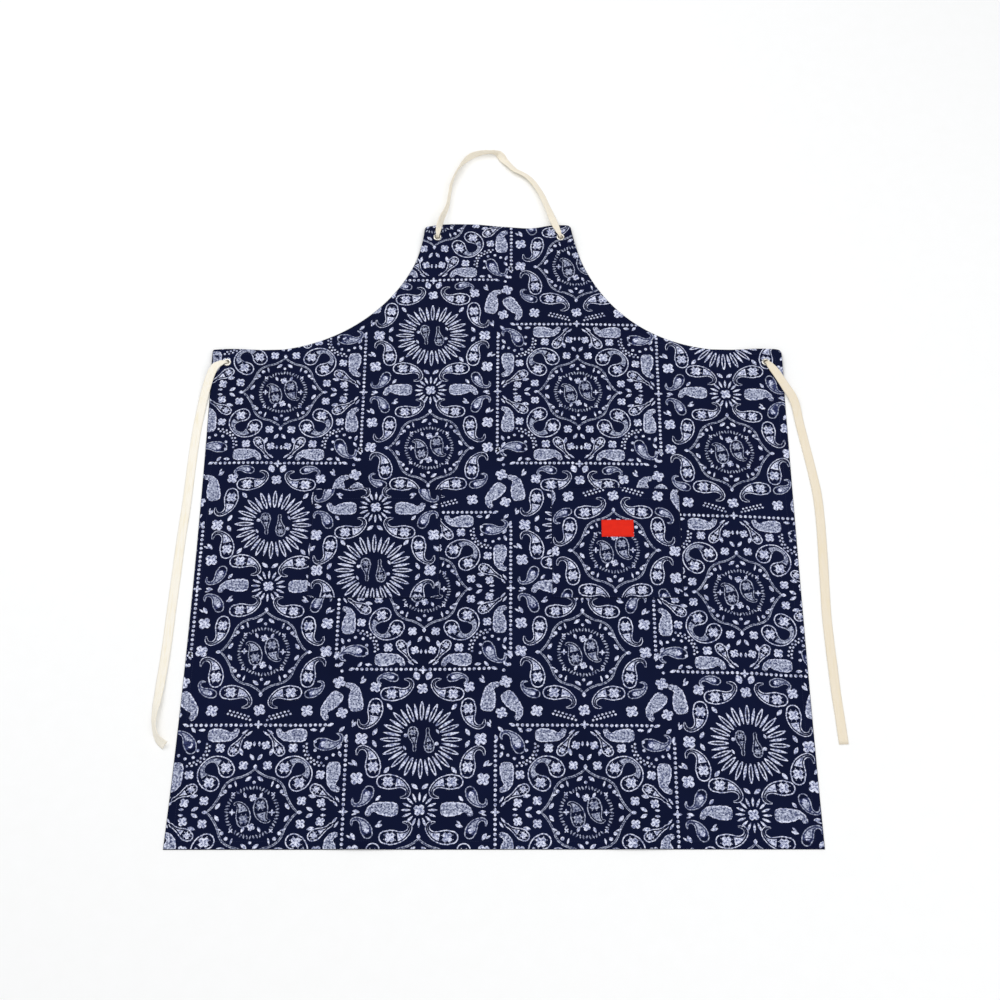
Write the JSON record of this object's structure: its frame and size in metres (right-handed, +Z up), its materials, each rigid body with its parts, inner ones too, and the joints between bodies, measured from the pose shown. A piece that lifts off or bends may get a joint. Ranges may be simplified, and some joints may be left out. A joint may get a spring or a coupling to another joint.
{
  "type": "long apron",
  "caption": "Long bib apron of paisley-printed cotton with curved armholes, patch pockets, eyelets, a tape neck strap and free waist ties, laid flat face up.",
  "frame": {"origin": "on the surface that the apron lies on, under the middle of its length from the hem to the top of the neck loop, on the centre line", "axes": "+Z up from the surface, +Y from the hem towards the bib, +X to the right of a viewer who looks at the front from the hem"},
  "size_m": [0.9631, 1.1764, 0.0177],
  "materials": {
    "printed_cotton": "matte woven cotton, navy with a white print",
    "cotton_tape": "matte woven tape, natural cream",
    "woven_label": "plain red woven label",
    "eyelet_metal": "pressed nickel-plated metal, satin"
  },
  "bodies": {
    "root": {"apron_panel": "printed_cotton", "pocket_left": "printed_cotton", "pocket_right": "printed_cotton", "pocket_label": "woven_label", "eyelet_bib_left": "eyelet_metal", "eyelet_bib_right": "eyelet_metal", "eyelet_waist_left": "eyelet_metal", "eyelet_waist_right": "eyelet_metal", "knot_bib_left": "cotton_tape", "knot_bib_right": "cotton_tape", "knot_waist_left": "cotton_tape", "knot_waist_right": "cotton_tape", "neck_strap": "cotton_tape", "waist_tie_left": "cotton_tape", "waist_tie_right": "cotton_tape"}
  },
  "joints": []
}
